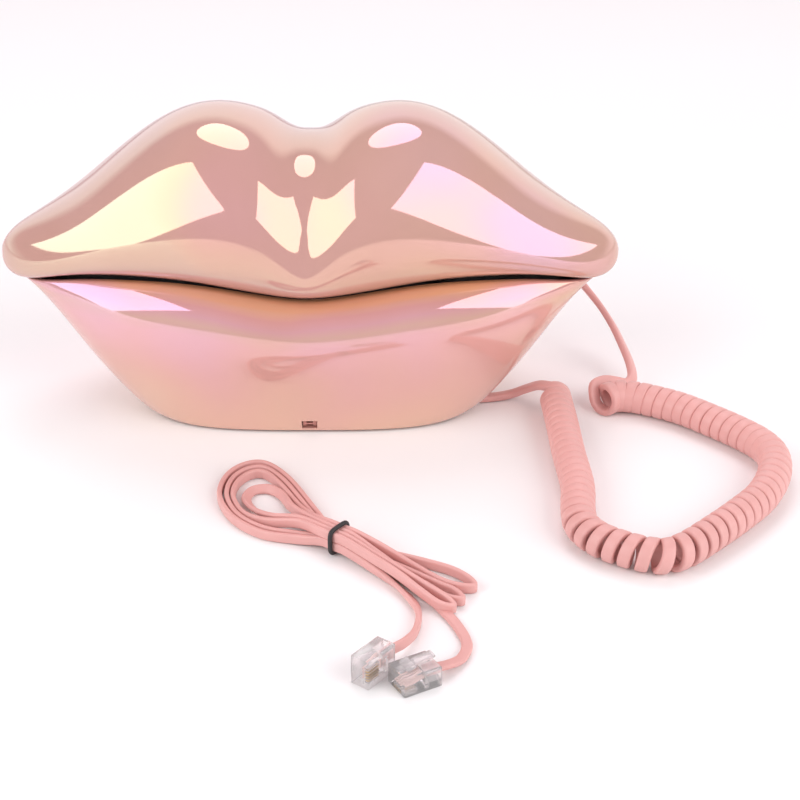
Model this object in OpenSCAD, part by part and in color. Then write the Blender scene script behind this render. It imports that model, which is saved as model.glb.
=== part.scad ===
// Lips-shaped table telephone: the upper lip is the handset, the lower lip is the base.
// A curly cord joins the two, and a line cord tied in a hank lies in front of them.
// Millimetres, +Z up, origin on the table under the middle of the telephone.

/* [Lips] */
// Width over the tips of the upper lip
lips_w = 220; // [200:1:240]
// Height of the tips of the upper lip above the table
tip_z = 55.5; // [50:0.5:60]
// Wall of the two moulded lips
wall = 2.4; // [1.8:0.1:3]
// Gap between the lips at the middle of the mouth
mouth_gap = 1.6; // [0.8:0.1:2.4]
// Radius that softens the notch between the two humps
notch_r = 3; // [1:0.5:6]

/* [Plates] */
// Thickness of the handset's underplate and of the base's deck
plate_t = 2.4; // [2:0.1:3]
// Underside of the handset's underplate
under_z = 58; // [57.6:0.1:59]
// Top of the base's deck
deck_z = 48.4; // [46:0.1:48.8]
// Height of the rubber feet
foot_h = 1; // [0.6:0.1:2]

/* [Keypad] */
// Distance between the rows of keys
row_pitch = 11; // [10:0.5:12]
// Distance between the columns of keys
column_pitch = 13; // [12:0.5:14]
// Size of a key cap along the handset
key_w = 7; // [6:0.1:8]
// Size of a key cap across the handset
key_d = 9.5; // [8:0.1:10]
// Length that a key stands out below the underplate
key_out = 2.4; // [1.5:0.1:3]

/* [Hook switch] */
// Place of the hook plunger along the deck
hook_x = 45; // [30:1:60]
// Diameter of the plunger
hook_d = 6; // [4:0.5:8]

/* [Cords] */
// Outer diameter of the curly cord's coil
coil_d = 11.5; // [10:0.5:13]
// Width of the flat handset cord
cord_w = 4.2; // [3.6:0.1:4.8]
// Thickness of the flat handset cord
cord_t = 2.4; // [2:0.1:2.8]

/* [Hidden] */

half_w = lips_w / 2;
pink = "#e8aea6";
black = "#1c1a1a";
clear = "#dfe6e8";
white = "#f2efe9";
gold = "#d9b45a";
steel = "#b8bcc0";
green = "#2f6b46";

// ---- curves ----------------------------------------------------------------------------

// Uniform cubic B-spline through control values c at parameter u, even about its start
// when even is true, and straight beyond its free ends.
function control(c, k, even) =
    let (n = len(c) - 1)
    k < 0 ? (even ? c[-k] : 2 * c[0] - c[-k]) : k > n ? 2 * c[n] - c[2 * n - k] : c[k];
function spline(c, u, even = false) =
    let (n = len(c) - 1, v = min(max(u, 0), n - 0.000001), i = floor(v), f = v - i)
    (pow(1 - f, 3) * control(c, i - 1, even) + (3 * f * f * f - 6 * f * f + 4) * c[i]
    + (3 * f + 3 * f * f - 3 * f * f * f + 1) * control(c, i + 1, even)
    + f * f * f * control(c, i + 2, even)) / 6;

function ease(v) = let (w = min(max(v, 0), 1)) w * w * (3 - 2 * w);

// Upper lip, worked out from the distance x along the mouth. Heights are measured from
// the tips, and all of them shrink to nothing at the tips with the cosine of the station.
crown = [38, 48, 52.5, 55.5, 56, 54, 49.5, 43.5, 36.5, 31, 28, 30];
mouth = [4.8, 3.2, 1.2, -0.4, -0.6, 0.3, 2.5, 10, 26];
reach = [44.5, 44, 43, 41.5, 39.5, 37.5, 36, 35, 34];
function notched(x) =
    half_w * (sqrt(x * x + notch_r * notch_r) - notch_r)
    / (sqrt(half_w * half_w + notch_r * notch_r) - notch_r);
function crown_at(x) = spline(crown, notched(x) / half_w * (len(crown) - 1), true);
function mouth_at(x) = spline(mouth, min(abs(x), half_w) / half_w * (len(mouth) - 1), true);
function reach_at(x) = spline(reach, min(abs(x), half_w) / half_w * (len(reach) - 1), true);
function shrink(x) = sqrt(max(0, 1 - pow(x / half_w, 2)));
function mouth_z(x) = tip_z - shrink(x) * mouth_at(x);
function half_gap(x) = 0.2 + (mouth_gap / 2 - 0.2) * shrink(x);

// Section of the upper lip from its front rim (s = 0) over the crown (s = 1) to the back
// rim (s = 2), as shares of the depth and of the height.
section_y = [0.76, 0.94, 1.03, 0.98, 0.74, 0.40, 0.00, -0.40];
section_z = [0.00, 0.10, 0.30, 0.58, 0.86, 1.01, 1.04, 1.01];
section_n = 6;
// How the front section changes from the middle of the mouth to its sides, where the bulge
// is lower.
side_y = [0.00, 0.06, 0.00, -0.05, -0.05, -0.02, 0.00, 0.02];
section_top = (section_z[5] * 2 + section_z[6] * 4) / 6;
function fold(s) = s > 1 ? 2 - s : s;
function side(s) = s > 1 ? 1 : -1;
function lower_bulge(x, s) = s > 1 ? 0 : ease((abs(x) - 12) / 45);
function share_y(x, s) =
    side(s) * spline(section_y + lower_bulge(x, s) * side_y, fold(s) * section_n);
function share_z(s) = spline(section_z, fold(s) * section_n) / section_top;

// The crease that runs from the notch down the front, fading out above the mouth.
crease_d = 6;
crease_w = 26;
function crease(x, s) =
    s > 1 ? 0 : crease_d * pow(max(0, 1 - notched(x) / crease_w), 2) * ease((s - 0.15) / 0.35);

// A point of the upper lip at station angle a, set inwards by t.
function upper_point(a, s, t) =
    let (x = half_w * sin(a), c = cos(a), low = tip_z - c * mouth_at(x) + half_gap(x),
        high = tip_z + c * (crown_at(x) - t))
    [(half_w - t) * sin(a), c * (reach_at(x) - t - crease(x, s)) * share_y(x, s),
        low + (high - low) * share_z(s)];

// Lower lip: rings from the bottom edge to the rim, as shares of the width, depth and height.
low_w = 104;
low_d = 43;
low_x = [0.560, 0.595, 0.648, 0.716, 0.786, 0.852, 0.914, 0.966, 1.000];
low_y = [0.800, 0.806, 0.838, 0.905, 0.968, 0.992, 0.945, 0.862, 0.770];
low_z = [0.000, 0.020, 0.120, 0.300, 0.500, 0.700, 0.860, 0.960, 1.000];
low_n = len(low_x) - 1;
function bend(v, e) = sign(v) * pow(abs(v), e);
function lower_point(a, s, t) =
    let (e = 2 / (3.3 - 1.3 * s), cx = bend(cos(a), e), sy = bend(sin(a), e),
        rim_x = low_w * low_x[low_n] * cx,
        rim_z = mouth_z(rim_x) - half_gap(rim_x))
    [(low_w * spline(low_x, s * low_n) - t) * cx,
        (low_d * spline(low_y, s * low_n) - t) * sy,
        foot_h + (rim_z - foot_h) * spline(low_z, s * low_n)];

// Parameter s at which a curve of heights reaches z, by halving.
function upper_s(a, t, z, lo = 0, hi = 0.6, n = 14) =
    n == 0 ? (lo + hi) / 2
    : let (m = (lo + hi) / 2)
        upper_point(a, m, t)[2] < z ? upper_s(a, t, z, m, hi, n - 1)
        : upper_s(a, t, z, lo, m, n - 1);
function lower_s(a, t, z, lo = 0, hi = 1, n = 14) =
    n == 0 ? (lo + hi) / 2
    : let (m = (lo + hi) / 2)
        lower_point(a, m, t)[2] < z ? lower_s(a, t, z, m, hi, n - 1)
        : lower_s(a, t, z, lo, m, n - 1);

// ---- general shapes --------------------------------------------------------------------

// Closed tube of 8 or more sides swept along route, flattened to w wide and h high.
function unit(v) = v / norm(v);
function along(p, i) =
    let (n = len(p) - 1) unit(i == 0 ? p[1] - p[0] : i == n ? p[n] - p[n - 1] : p[i + 1] - p[i - 1]);
module tube(route, w, h, sides = 8) {
    n = len(route);
    rings = [for (i = [0 : n - 1])
        let (d = along(route, i), flat = unit(cross([0, 0, 1], d)), up = cross(d, flat))
        for (k = [0 : sides - 1])
            let (a = 360 * (k + 0.5) / sides)
            route[i] + flat * (w / 2 * cos(a)) + up * (h / 2 * sin(a))];
    walls = [for (i = [0 : n - 2]) for (k = [0 : sides - 1])
        let (a = i * sides + k, b = i * sides + (k + 1) % sides)
        each [[a, a + sides, b + sides], [a, b + sides, b]]];
    first = [for (k = [0 : sides - 1]) k];
    last = [for (k = [sides - 1 : -1 : 0]) (n - 1) * sides + k];
    polyhedron(rings, concat(walls, [first, last]), convexity = 8);
}

// Smooth route: a Catmull-Rom curve through the points, with m steps to each span.
function through(p, m) =
    let (n = len(p) - 1)
    concat([for (i = [0 : n - 1]) for (j = [0 : m - 1])
        let (t = j / m, a = p[max(i - 1, 0)], b = p[i], c = p[i + 1], d = p[min(i + 2, n)])
        (2 * b + (c - a) * t + (2 * a - 5 * b + 4 * c - d) * t * t
        + (3 * b - a - 3 * c + d) * t * t * t) / 2], [p[n]]);

module rounded(w, d, r) {
    square([w, d - 2 * r], center = true);
    square([w - 2 * r, d], center = true);
    for (x = [-1, 1], y = [-1, 1])
        translate([x * (w / 2 - r), y * (d / 2 - r)]) circle(r, $fn = 24);
}

module block(size, z) {
    translate([0, 0, z + size[2] / 2]) cube(size, center = true);
}

// Countersunk screw, head down at z, shank pointing up.
module screw(x, y, z, long, d = 2.4, head = 4.8) {
    translate([x, y, z]) {
        cylinder(h = 1.2, d1 = head, d2 = d, $fn = 32);
        cylinder(h = long, d = d, $fn = 32);
    }
}

module screw_hole(x, y, z, d = 2.6, head = 5) {
    translate([x, y, z - 0.01]) cylinder(h = 1.3, d1 = head, d2 = d, $fn = 32);
    translate([x, y, z]) cylinder(h = 8, d = d, $fn = 32);
}

// ---- the two moulded lips --------------------------------------------------------------

// Triangles of a four-sided patch, without the ones that vanish at a pole.
function patch(a, b, c, d) = concat(
    a != b && b != c && a != c ? [[a, b, c]] : [], a != c && c != d && a != d ? [[a, c, d]] : []);

stations = 48;
steps = 24;
module upper_skin() {
    row = steps + 1;
    skin_size = (stations - 1) * row + 2;
    points = [for (t = [0, wall]) each concat(
        [upper_point(-90, 0, t)],
        [for (i = [1 : stations - 1]) for (j = [0 : steps])
            upper_point(-90 + 180 * i / stations, 2 * j / steps, t)],
        [upper_point(90, 0, t)])];
    function id(i, j, k) = k * skin_size
        + (i == 0 ? 0 : i == stations ? skin_size - 1 : 1 + (i - 1) * row + j);
    faces = [for (i = [0 : stations - 1]) each concat(
        [for (j = [0 : steps - 1])
            each patch(id(i, j, 0), id(i, j + 1, 0), id(i + 1, j + 1, 0), id(i + 1, j, 0))],
        [for (j = [0 : steps - 1])
            each patch(id(i, j, 1), id(i + 1, j, 1), id(i + 1, j + 1, 1), id(i, j + 1, 1))],
        patch(id(i, 0, 0), id(i + 1, 0, 0), id(i + 1, 0, 1), id(i, 0, 1)),
        patch(id(i + 1, steps, 0), id(i, steps, 0), id(i, steps, 1), id(i + 1, steps, 1)))];
    polyhedron(points, faces, convexity = 10);
}

turns = 72;
rings = 14;
module lower_skin() {
    points = [for (t = [0, wall]) for (j = [0 : rings]) for (k = [0 : turns - 1])
        lower_point(360 * k / turns, j / rings, t)];
    function id(j, k, n) = (n * (rings + 1) + j) * turns + k % turns;
    faces = [for (k = [0 : turns - 1]) each concat(
        [for (j = [0 : rings - 1])
            each patch(id(j, k, 0), id(j + 1, k, 0), id(j + 1, k + 1, 0), id(j, k + 1, 0))],
        [for (j = [0 : rings - 1])
            each patch(id(j, k, 1), id(j, k + 1, 1), id(j + 1, k + 1, 1), id(j + 1, k, 1))],
        patch(id(0, k, 0), id(0, k + 1, 0), id(0, k + 1, 1), id(0, k, 1)),
        patch(id(rings, k + 1, 0), id(rings, k, 0), id(rings, k, 1), id(rings, k + 1, 1)))];
    polyhedron(points, faces, convexity = 10);
}

// Sockets and switches in the back wall of the base, and the cord's way out on the right.
line_jack_x = -20;
line_jack_y = 33;
jack_floor = 13.6;
ringer_x = 4;
tone_x = 20;
switch_z = 17;
knob_travel = 3;
latch_w = 5.4;
notch_y = -10.5;
module base_shell() {
    color(pink) difference() {
        lower_skin();
        translate([line_jack_x, 36, jack_floor + 6.4]) cube([11, 14, 10.6], center = true);
        for (x = [ringer_x, tone_x])
            translate([x, 36, switch_z]) cube([knob_travel + 3.4, 14, 3.4], center = true);
        translate([0, -32, 3.5]) cube([latch_w, 10, 2.6], center = true);
        translate([62, notch_y, foot_h + 1.4]) cube([24, 6.4, 4.4], center = true);
    }
}

handset_bosses = [-36, 36];
handset_jack = [68, 23, 65];
module handset_shell() {
    color(pink) difference() {
        union() {
            upper_skin();
            for (x = handset_bosses) {
                top = upper_point(asin(x / half_w), 1, 1.2)[2];
                translate([x, 0, under_z + plate_t]) cylinder(h = top - under_z - plate_t, d = 7, $fn = 32);
            }
        }
        for (x = handset_bosses)
            translate([x, 0, under_z + plate_t - 1]) cylinder(h = 14, d = 2.2, $fn = 32);
        translate([handset_jack[0], 28, handset_jack[2]]) cube([9, 10, 8.6], center = true);
    }
}

// ---- handset ---------------------------------------------------------------------------

fit = 0.36;
function inner_y(a, z, back) =
    let (s = upper_s(a, wall + fit, z, 0, 1)) upper_point(a, back ? 2 - s : s, wall + fit)[1];
function under_edge(a, back) =
    let (low = inner_y(a, under_z, back), high = inner_y(a, under_z + plate_t, back))
    [(half_w - wall - fit) * sin(a), back ? min(low, high) : max(low, high)];
under_outline = concat([for (a = [-72 : 4 : 72]) under_edge(a, false)],
    [for (a = [72 : -4 : -72]) under_edge(a, true)]);

columns = [column_pitch, 0, -column_pitch];
rows = [-2 * row_pitch, -row_pitch, 0, row_pitch, 2 * row_pitch];
key_play = 0.25;
receiver_x = -66;
microphone_x = 82;
pcb_posts = [for (x = [-27, 27], y = [-22, 22]) [x, y]];
pcb_z = under_z + plate_t + 3.4;

module handset_underplate() {
    color(black) difference() {
        union() {
            translate([0, 0, under_z]) linear_extrude(plate_t) polygon(under_outline);
            for (p = pcb_posts)
                translate([p[0], p[1], under_z + plate_t]) cylinder(h = 3.4, d = 5, $fn = 32);
            translate([receiver_x, 0, under_z]) rotate_extrude($fn = 64)
                translate([15, 0]) circle(1.1, $fn = 24);
        }
        for (x = rows, y = columns)
            translate([x, y, under_z + plate_t / 2])
                cube([key_w + 2 * key_play, key_d + 2 * key_play, plate_t + 2], center = true);
        for (x = handset_bosses) screw_hole(x, 0, under_z);
        for (p = pcb_posts) translate([p[0], p[1], under_z + 1.4]) cylinder(h = 8, d = 1.8, $fn = 24);
        translate([receiver_x, 0, under_z - 2]) cylinder(h = 6, d = 2.2, $fn = 24);
        for (k = [0 : 5])
            translate([receiver_x + 6.5 * cos(60 * k), 6.5 * sin(60 * k), under_z - 2])
                cylinder(h = 6, d = 2.2, $fn = 24);
        translate([microphone_x, 0, under_z - 2]) cylinder(h = 6, d = 1.6, $fn = 24);
    }
}

// One key: a cap that stands out below the underplate, and a flange that holds it in.
module key(row, column) {
    translate([rows[row], columns[column], 0]) color(white) {
        translate([0, 0, under_z - key_out]) linear_extrude(key_out + plate_t + 0.1)
            rounded(key_w, key_d, 1.6);
        block([key_w + 1.2, key_d + 1.2, 0.9], under_z + plate_t + 0.1);
    }
}

module keypad_membrane() {
    color("gray") translate([0, 0, pcb_z - 1.2]) linear_extrude(1.2) rounded(58, 37, 2);
}

module keypad_pcb() {
    color(green) difference() {
        translate([0, 0, pcb_z]) linear_extrude(1.6) rounded(60, 50, 1.5);
        for (p = pcb_posts) translate([p[0], p[1], pcb_z - 1]) cylinder(h = 4, d = 2.2, $fn = 24);
    }
}

module receiver_gasket() {
    color("dimgray") translate([receiver_x, 0, under_z + plate_t]) difference() {
        cylinder(h = 1, d = 32, $fn = 64);
        translate([0, 0, -1]) cylinder(h = 3, d = 24, $fn = 64);
    }
}

receiver_z = under_z + plate_t + 1;
module receiver_frame() {
    color(steel) translate([receiver_x, 0, receiver_z]) difference() {
        union() {
            cylinder(h = 5, d = 32, $fn = 64);
            cylinder(h = 8.5, d = 18, $fn = 64);
        }
        translate([0, 0, -1]) cylinder(h = 4.6, d = 28, $fn = 64);
    }
}

module receiver_cone() {
    color("khaki") translate([receiver_x, 0, receiver_z + 0.8])
        rotate_extrude($fn = 64) polygon([[0, 1], [5, 1.9], [9, 0.4], [14, 0.4], [14, 0],
            [8.8, 0], [5, 1.5], [0, 0.6]]);
}

module microphone_boot() {
    color("dimgray") translate([microphone_x, 0, under_z + plate_t]) difference() {
        cylinder(h = 8, d = 12.6, $fn = 48);
        translate([0, 0, 1]) cylinder(h = 8, d = 9.7, $fn = 48);
        translate([0, 0, -1]) cylinder(h = 3, d = 1.6, $fn = 24);
    }
}

module microphone_capsule() {
    color(steel) translate([microphone_x, 0, under_z + plate_t + 1])
        cylinder(h = 6.5, d = 9.7, $fn = 48);
}

module handset_screws() {
    color(steel) for (x = handset_bosses) screw(x, 0, under_z, 12, 2.2, 4.6);
}

module pcb_screws() {
    color(steel) for (p = pcb_posts) translate([p[0], p[1], under_z + plate_t]) {
        translate([0, 0, 0.4]) cylinder(h = 5, d = 1.8, $fn = 24);
        translate([0, 0, 5]) cylinder(h = 1, d = 4, $fn = 24);
    }
}

// ---- jacks and plugs -------------------------------------------------------------------

// Modular plug lying along +Y with its nose at the origin and its tail at y = long.
// The lever of the latch is on top, hinged at the nose.
module modular_plug(w, h, long) {
    difference() {
        translate([-w / 2, 0, 0]) cube([w, long, h]);
        for (k = [-1.5 : 1 : 1.5])
            translate([k * 1.02 - 0.25, -1, -1]) cube([0.5, 6, 2.2]);
    }
    translate([-1.6, 0, 0]) rotate([90, 0, 90]) linear_extrude(3.2)
        polygon([[0.6, h - 0.2], [1.8, h - 0.2], [long - 0.4, h + 1.6], [long - 0.4, h + 2.3],
            [long * 0.5, h + 1.7], [1.4, h + 0.7]]);
}

module contacts() {
    for (k = [-1.5 : 1 : 1.5])
        translate([k * 1.02 - 0.25, 0.2, 0.2]) cube([0.5, 4.8, 1]);
}

// Modular jack: a block open at y = 0 that reaches back to y = -deep.
module modular_jack(size, socket, channel, rise) {
    difference() {
        translate([-size[0] / 2, -size[1], 0]) cube(size);
        translate([-socket[0] / 2, 1 - socket[1], rise]) cube(socket);
        translate([-channel[0] / 2, 1 - channel[1], rise + socket[2] - 0.5]) cube(channel);
    }
}

handset_plug = [7.65, 6, 11.6];
handset_socket = [7.75, 11, 6.1];
module handset_cord_jack() {
    color(black) translate([handset_jack[0], handset_jack[1], under_z + plate_t])
        modular_jack([11, 13, 11.6], handset_socket, [3.6, 11, 3.2], handset_jack[2] - under_z
            - plate_t - 3.05);
}

// The handset's plug, with the first stretch of cord that sticks out through the shell.
cord_start_y = 31;
module handset_cord_plug() {
    tail_y = handset_jack[1] - 9.6 + handset_plug[2];
    color(clear) translate([handset_jack[0], handset_jack[1] - 9.6, handset_jack[2] - 3])
        modular_plug(handset_plug[0], handset_plug[1], handset_plug[2]);
    color(pink) translate([handset_jack[0], tail_y - 1, handset_jack[2]]) rotate([-90, 0, 0])
        linear_extrude(cord_start_y - tail_y + 1) rounded(cord_w, cord_t, cord_t / 2 - 0.05);
}

base_jack = [38, -14, 7.6];
module base_cord_jack() {
    color(black) translate([base_jack[0], base_jack[1], foot_h + plate_t]) rotate([0, 0, -90])
        modular_jack([11, 13, 11], handset_socket, [3.6, 11, 3.4], base_jack[2] - foot_h
            - plate_t - 3.05);
}

module base_cord_plug() {
    color(clear) translate([base_jack[0] - 9.6, base_jack[1], base_jack[2] - 3])
        rotate([0, 0, -90]) modular_plug(handset_plug[0], handset_plug[1], handset_plug[2]);
}

line_socket = [9.8, 11.5, 6.8];
module line_jack() {
    color(black) translate([line_jack_x, line_jack_y, jack_floor])
        modular_jack([13, 13, 12.4], line_socket, [4.2, 11.5, 3.4], 1.6);
}

// ---- base ------------------------------------------------------------------------------

function ring_at(a, z) = lower_point(a, lower_s(a, wall + fit, z), wall + fit);
function inside(a, low, high) =
    let (p = ring_at(a, low), q = ring_at(a, high))
    [sign(p[0]) * min(abs(p[0]), abs(q[0])), sign(p[1]) * min(abs(p[1]), abs(q[1]))];
legs = [[-40, 20], [-40, -20], [42, 16], [18, -22]];
rest_x = 93;

module base_deck() {
    color(black) difference() {
        union() {
            translate([0, 0, deck_z - plate_t]) linear_extrude(plate_t)
                polygon([for (a = [0 : 5 : 355]) inside(a, deck_z - plate_t, deck_z)]);
            for (x = [-rest_x, rest_x]) translate([x, 0, 0])
                block([8, 12, under_z - deck_z], deck_z);
            for (p = legs) translate([p[0], p[1], foot_h + plate_t])
                cylinder(h = deck_z - plate_t - foot_h - plate_t + 0.5, d = 8, $fn = 32);
            translate([hook_x, 0, deck_z - 4.4]) cylinder(h = 5, d = 14, $fn = 48);
        }
        for (p = legs) translate([p[0], p[1], 0]) cylinder(h = 14, d = 2.4, $fn = 32);
        translate([hook_x, 0, 20]) cylinder(h = 40, d = hook_d + 0.1, $fn = 48);
        translate([hook_x, 0, deck_z - 5]) cylinder(h = 2.6, d = 10.4, $fn = 48);
    }
}

ringer_place = [-48, 0];
pcb_middle = [-4, 10];
pcb_size = [58, 36];
base_posts = [for (x = [-29, 12], y = [-4, 24]) [x, y]];
post_d = 5;
plate_top = foot_h + plate_t;
base_pcb_z = jack_floor - 1.6;

module base_bottom_plate() {
    color(pink) difference() {
        union() {
            translate([0, 0, foot_h]) linear_extrude(plate_t)
                polygon([for (a = [0 : 5 : 355]) inside(a, foot_h, plate_top)]);
            for (p = base_posts) translate([p[0], p[1], plate_top])
                cylinder(h = base_pcb_z - plate_top, d = post_d, $fn = 32);
            translate([hook_x, 0, 0]) block([12, 8, 8.6], plate_top);
            translate([-latch_w / 2 + 0.3, -33.4, 2.9]) cube([latch_w - 0.6, 4, 0.5]);
            for (x = [-1, 1]) translate([x * (latch_w / 2 - 0.9) - 0.6, -33.4, 2.4])
                cube([1.2, 4, 2.2]);
        }
        for (p = legs) screw_hole(p[0], p[1], foot_h);
        for (p = base_posts) translate([p[0], p[1], plate_top + 1]) cylinder(h = 12, d = 1.8, $fn = 24);
        translate([base_jack[0] + 12.2, base_jack[1], foot_h]) cube([24, 9.6, 8], center = true);
        translate([60, notch_y, foot_h]) cube([22, 6.4, 8], center = true);
        translate([ringer_place[0], 0, 0]) cylinder(h = 6, d = 2, $fn = 24);
        for (k = [0 : 5])
            translate([ringer_place[0] + 5 * cos(60 * k), 5 * sin(60 * k), 0])
                cylinder(h = 6, d = 2, $fn = 24);
    }
}

feet = [[-50, 16], [-50, -16], [50, 15], [34, -23.5]];
module rubber_feet() {
    color("dimgray") for (p = feet) translate([p[0], p[1], 0]) cylinder(h = foot_h, d = 7, $fn = 32);
}

module base_screws() {
    color(steel) for (p = legs) screw(p[0], p[1], foot_h, 12);
    color(steel) for (p = base_posts) translate([p[0], p[1], plate_top]) {
        translate([0, 0, 2]) cylinder(h = 9, d = 1.8, $fn = 24);
        translate([0, 0, jack_floor - plate_top]) cylinder(h = 1, d = 4, $fn = 24);
    }
}

plunger_top = under_z;
flange_z = deck_z - plate_t - 5.4;
switch_top = plate_top + 8.6 + 8;
module hook_plunger() {
    color(white) translate([hook_x, 0, 0]) {
        translate([0, 0, flange_z]) cylinder(h = plunger_top - flange_z, d = hook_d, $fn = 48);
        translate([0, 0, flange_z]) cylinder(h = 1.6, d = 9.6, $fn = 48);
        translate([0, 0, switch_top - 5]) cylinder(h = flange_z - switch_top + 5.5, d = 3, $fn = 32);
    }
}

module hook_switch() {
    color(black) difference() {
        translate([hook_x, 0, 0]) block([12, 8, 8], plate_top + 8.6);
        translate([hook_x, 0, switch_top - 6]) cylinder(h = 8, d = 3.1, $fn = 32);
    }
}

spring_turns = 7;
module hook_spring() {
    wire = 0.7;
    low = switch_top + wire / 2;
    high = flange_z - wire / 2;
    route = [for (i = [0 : spring_turns * 10])
        [hook_x + 3.2 * cos(36 * i), 3.2 * sin(36 * i),
            low + (high - low) * i / (spring_turns * 10)]];
    color(steel) tube(route, wire, wire);
}

module base_pcb() {
    color(green) difference() {
        translate([pcb_middle[0], pcb_middle[1], base_pcb_z]) linear_extrude(1.6)
            rounded(pcb_size[0], pcb_size[1], 1.5);
        for (p = base_posts) translate([p[0], p[1], base_pcb_z - 1]) cylinder(h = 4, d = 2.2, $fn = 24);
    }
}

module ringer() {
    color(black) translate([ringer_place[0], 0, plate_top]) difference() {
        cylinder(h = 6, d = 24, $fn = 48);
        translate([0, 0, -1]) cylinder(h = 4, d = 18, $fn = 48);
    }
}

module slide_switches() {
    color(steel) for (x = [ringer_x, tone_x]) difference() {
        translate([x, 25, 0]) block([9, 6, 6.4], jack_floor);
        translate([x, 27, switch_z]) cube([knob_travel + 3.2, 8, 3.2], center = true);
    }
}

module knob(x, end_y) {
    color(black) translate([x - knob_travel / 2 - 1.5, 23.4, switch_z - 1.5])
        cube([3, end_y - 23.4, 3]);
}
module ringer_switch_knob() { knob(ringer_x, 38.8); }
module tone_switch_knob() { knob(tone_x, 37.8); }

// ---- cords -----------------------------------------------------------------------------

// Middle of the curly cord's coil, from the base's end round to the handset's end.
coil_route = [[88, -18], [89, -38], [89.8, -60], [91, -81], [90, -97], [90.5, -106.5],
    [95, -114.5], [102, -120], [109, -123.5], [115.5, -124.5], [122.5, -120.5], [132, -111],
    [142, -100], [151, -88.5], [157.3, -75], [159.3, -63], [157, -54], [151, -45.5], [142, -36],
    [132, -26.8], [121.5, -20.5], [114, -17.8], [108, -18.8]];
module handset_cord_coil() {
    color(pink) tube(through([for (p = coil_route) [p[0], p[1], coil_d / 2]], 2), coil_d, coil_d, 12);
}

// From the handset's plug down behind the corner of the base to the coil's far end.
tail_up = [[68, cord_start_y + 0.3, 65], [68.2, 34.5, 64.8], [70.5, 38.5, 62.5],
    [76, 41, 56.5], [83, 41.2, 47.8], [90, 40, 38.5], [96.5, 37.5, 31], [102.4, 33.5, 25.2],
    [107.5, 26.5, 20.8], [111.5, 18.5, 16.8], [114.5, 10, 12.8], [116.8, 2, 9],
    [117.2, -4, 6.4], [114.8, -7.8, 5.6], [110.5, -9, 6.8], [107, -11.5, 8]];
module handset_cord_tail_up() {
    color(pink) tube(through(tail_up, 2), cord_w, cord_t);
}

// From the base's plug out through the notch, along the table and over the coil's near end.
tail_low = [[39.4, -14, 7.6], [44, -14, 6.8], [50, -13, 3.2], [56, -11.6, 1.7], [62, -10.8, 1.6],
    [67.5, -9.8, 1.6], [73, -7.4, 2.2], [79, -6.3, 4.4], [84.5, -11.5, 8.8], [88, -20, 10.6]];
module handset_cord_tail_low() {
    color(pink) tube(through(tail_low, 1), cord_w, cord_t);
}

// The line cord's hank, as circles that run from its big loop through the tie to its ends.
hank_z = 1.4;
hank_h = 6;
waist_w = 8;
tie_place = [12.5, -112.5];
tie_turn = -36.9;
tie_t = 1.2;
hank = [[-14.5, -74, 14.5], [-9, -91, 16], [8.5, -109.5, waist_w / 2], [16.5, -115.5, waist_w / 2],
    [46.5, -138.5, 10.5]];
module line_cord_hank() {
    color(pink) translate([0, 0, hank_z]) linear_extrude(hank_h)
        for (i = [0 : len(hank) - 2]) hull() for (c = [hank[i], hank[i + 1]])
            translate([c[0], c[1]]) circle(c[2], $fn = 48);
}

line_a = [[37, -143, 3], [38, -153.4, 1.3], [36.9, -162.5, 2.2], [33, -169.3, 3.8],
    [27.5, -176.3, 4.8]];
line_b = [[44, -144, 3], [49, -155.5, 1.3], [51.5, -165.4, 1.3], [49.4, -174, 1.9],
    [45, -178.8, 2.9], [40.8, -181.2, 3.3]];
line_w = 3.4;
line_t = 1.9;
module line_cord_tail_a() { color(pink) tube(through(line_a, 2), line_w, line_t); }
module line_cord_tail_b() { color(pink) tube(through(line_b, 2), line_w, line_t); }

// Elastic band drawn round the hank's waist.
module line_cord_tie() {
    color(black) translate([tie_place[0], tie_place[1], hank_z + hank_h / 2]) rotate([0, 0, tie_turn])
        rotate([90, 0, 90]) linear_extrude(1.6, center = true) difference() {
            rounded(waist_w + 0.2 + 2 * tie_t, hank_h + 0.2 + 2 * tie_t, 2.4);
            square([waist_w + 0.2, hank_h + 0.2], center = true);
        }
}

// Plugs of the line cord: one stands on its side, the other lies flat.
plug_size = [9.65, 6.6, 12.5];
module at_plug_a() {
    translate([23, -187.4, plug_size[0] / 2]) rotate([0, 0, -38]) rotate([0, -90, 0]) children();
}
module at_plug_b() { translate([30.9, -186.9, 0]) rotate([0, 0, -60]) children(); }
module line_plug() { modular_plug(plug_size[0], plug_size[1], plug_size[2]); }
module line_plug_a() { color(clear) at_plug_a() line_plug(); }
module line_plug_b() { color(clear) at_plug_b() line_plug(); }
module line_plug_contacts() {
    color(gold) at_plug_a() contacts();
    color(gold) at_plug_b() contacts();
}

// ---- nodes -----------------------------------------------------------------------------

base_shell();
base_bottom_plate();
base_deck();
rubber_feet();
base_screws();
hook_plunger();
hook_spring();
hook_switch();
base_pcb();
ringer();
line_jack();
base_cord_jack();
ringer_switch_knob();
tone_switch_knob();
slide_switches();
handset_shell();
handset_underplate();
key(0, 0);  // key_1
key(0, 1);  // key_2
key(0, 2);  // key_3
key(1, 0);  // key_4
key(1, 1);  // key_5
key(1, 2);  // key_6
key(2, 0);  // key_7
key(2, 1);  // key_8
key(2, 2);  // key_9
key(3, 0);  // key_star
key(3, 1);  // key_0
key(3, 2);  // key_hash
key(4, 0);  // key_flash
key(4, 1);  // key_redial
key(4, 2);  // key_mute
keypad_membrane();
keypad_pcb();
receiver_frame();
receiver_cone();
receiver_gasket();
microphone_capsule();
microphone_boot();
handset_screws();
pcb_screws();
handset_cord_jack();
handset_cord_plug();
base_cord_plug();
handset_cord_coil();
handset_cord_tail_up();
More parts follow.
